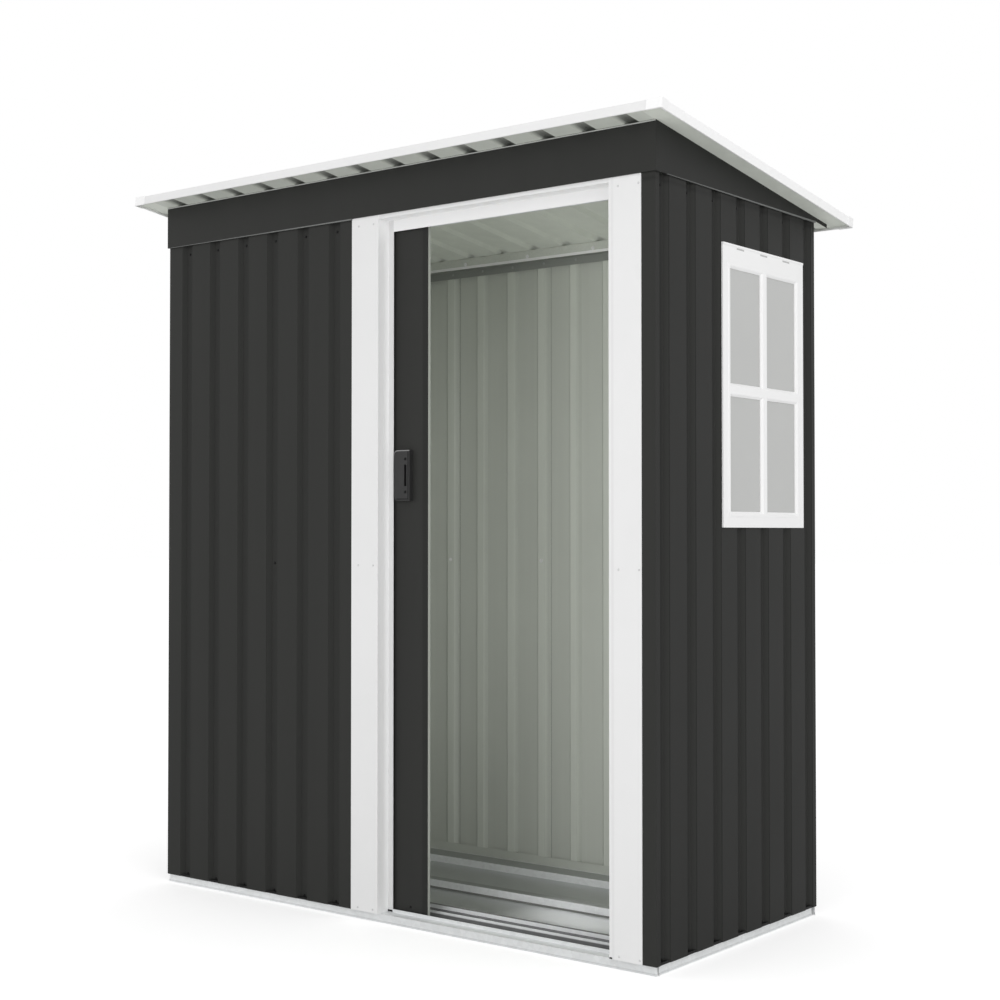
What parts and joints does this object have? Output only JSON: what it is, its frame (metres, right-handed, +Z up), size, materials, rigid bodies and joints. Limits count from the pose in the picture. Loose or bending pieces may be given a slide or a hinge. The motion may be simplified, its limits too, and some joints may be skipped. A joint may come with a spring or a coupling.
{
  "type": "metal storage shed",
  "caption": "Narrow pent-roof garden shed of dark ribbed metal sheet with white trim, a sliding door behind the front wall and a fixed side window.",
  "frame": {"origin": "middle of the overall box, on the ground", "axes": "+X to the shed's right, +Y from the doorway to the rear wall, +Z up"},
  "size_m": [1.619, 0.862, 1.7783],
  "materials": {
    "dark_sheet": "satin",
    "grey_sheet": "satin",
    "white_sheet": "satin",
    "zinc_sheet": "galvanised",
    "white_plastic": "satin",
    "frosted_pane": "frosted",
    "black_plastic": "satin"
  },
  "bodies": {
    "shed": {"base_rail_front": "zinc_sheet", "door_trough": "zinc_sheet", "sill_rail": "zinc_sheet", "base_rail_rear": "zinc_sheet", "base_rail_left": "zinc_sheet", "base_rail_right": "zinc_sheet", "floor_cross_bar": "zinc_sheet", "floor_pan_front": "zinc_sheet", "floor_pan_rear": "zinc_sheet", "front_wall_panel_outer": "dark_sheet", "front_wall_panel_inner": "dark_sheet", "door_post_left": "white_sheet", "door_post_right": "white_sheet", "door_lintel": "white_sheet", "door_head_track": "zinc_sheet", "right_wall_corner_panel": "dark_sheet", "right_wall_lower_panel": "dark_sheet", "right_wall_upper_panel": "dark_sheet", "right_wall_rear_panel": "dark_sheet", "window_frame": "white_plastic", "window_glazing": "frosted_pane", "left_wall_front_panel": "dark_sheet", "left_wall_rear_panel": "dark_sheet", "rear_wall_panel_1": "dark_sheet", "rear_wall_panel_2": "dark_sheet", "rear_wall_panel_3": "dark_sheet", "rear_wall_panel_4": "dark_sheet", "header_fascia": "dark_sheet", "gable_left": "dark_sheet", "gable_right": "dark_sheet", "top_rail_front": "grey_sheet", "top_rail_rear": "grey_sheet", "top_rail_left": "grey_sheet", "top_rail_right": "grey_sheet", "roof_panel_1": "dark_sheet", "roof_panel_2": "dark_sheet", "roof_panel_3": "dark_sheet", "roof_panel_4": "dark_sheet", "roof_panel_5": "dark_sheet", "roof_trim_front": "white_sheet", "roof_trim_rear": "white_sheet", "roof_trim_left": "white_sheet", "roof_trim_right": "white_sheet", "roof_corner_caps": "white_sheet"},
    "door": {"door_panel": "dark_sheet", "door_handle": "black_plastic", "door_hangers": "black_plastic", "door_glides": "black_plastic"}
  },
  "joints": [
    {"name": "door_slide", "type": "slide", "parent": "shed", "child": "door", "axis": [1, 0, 0], "range_m": [0, 0.531]}
  ]
}
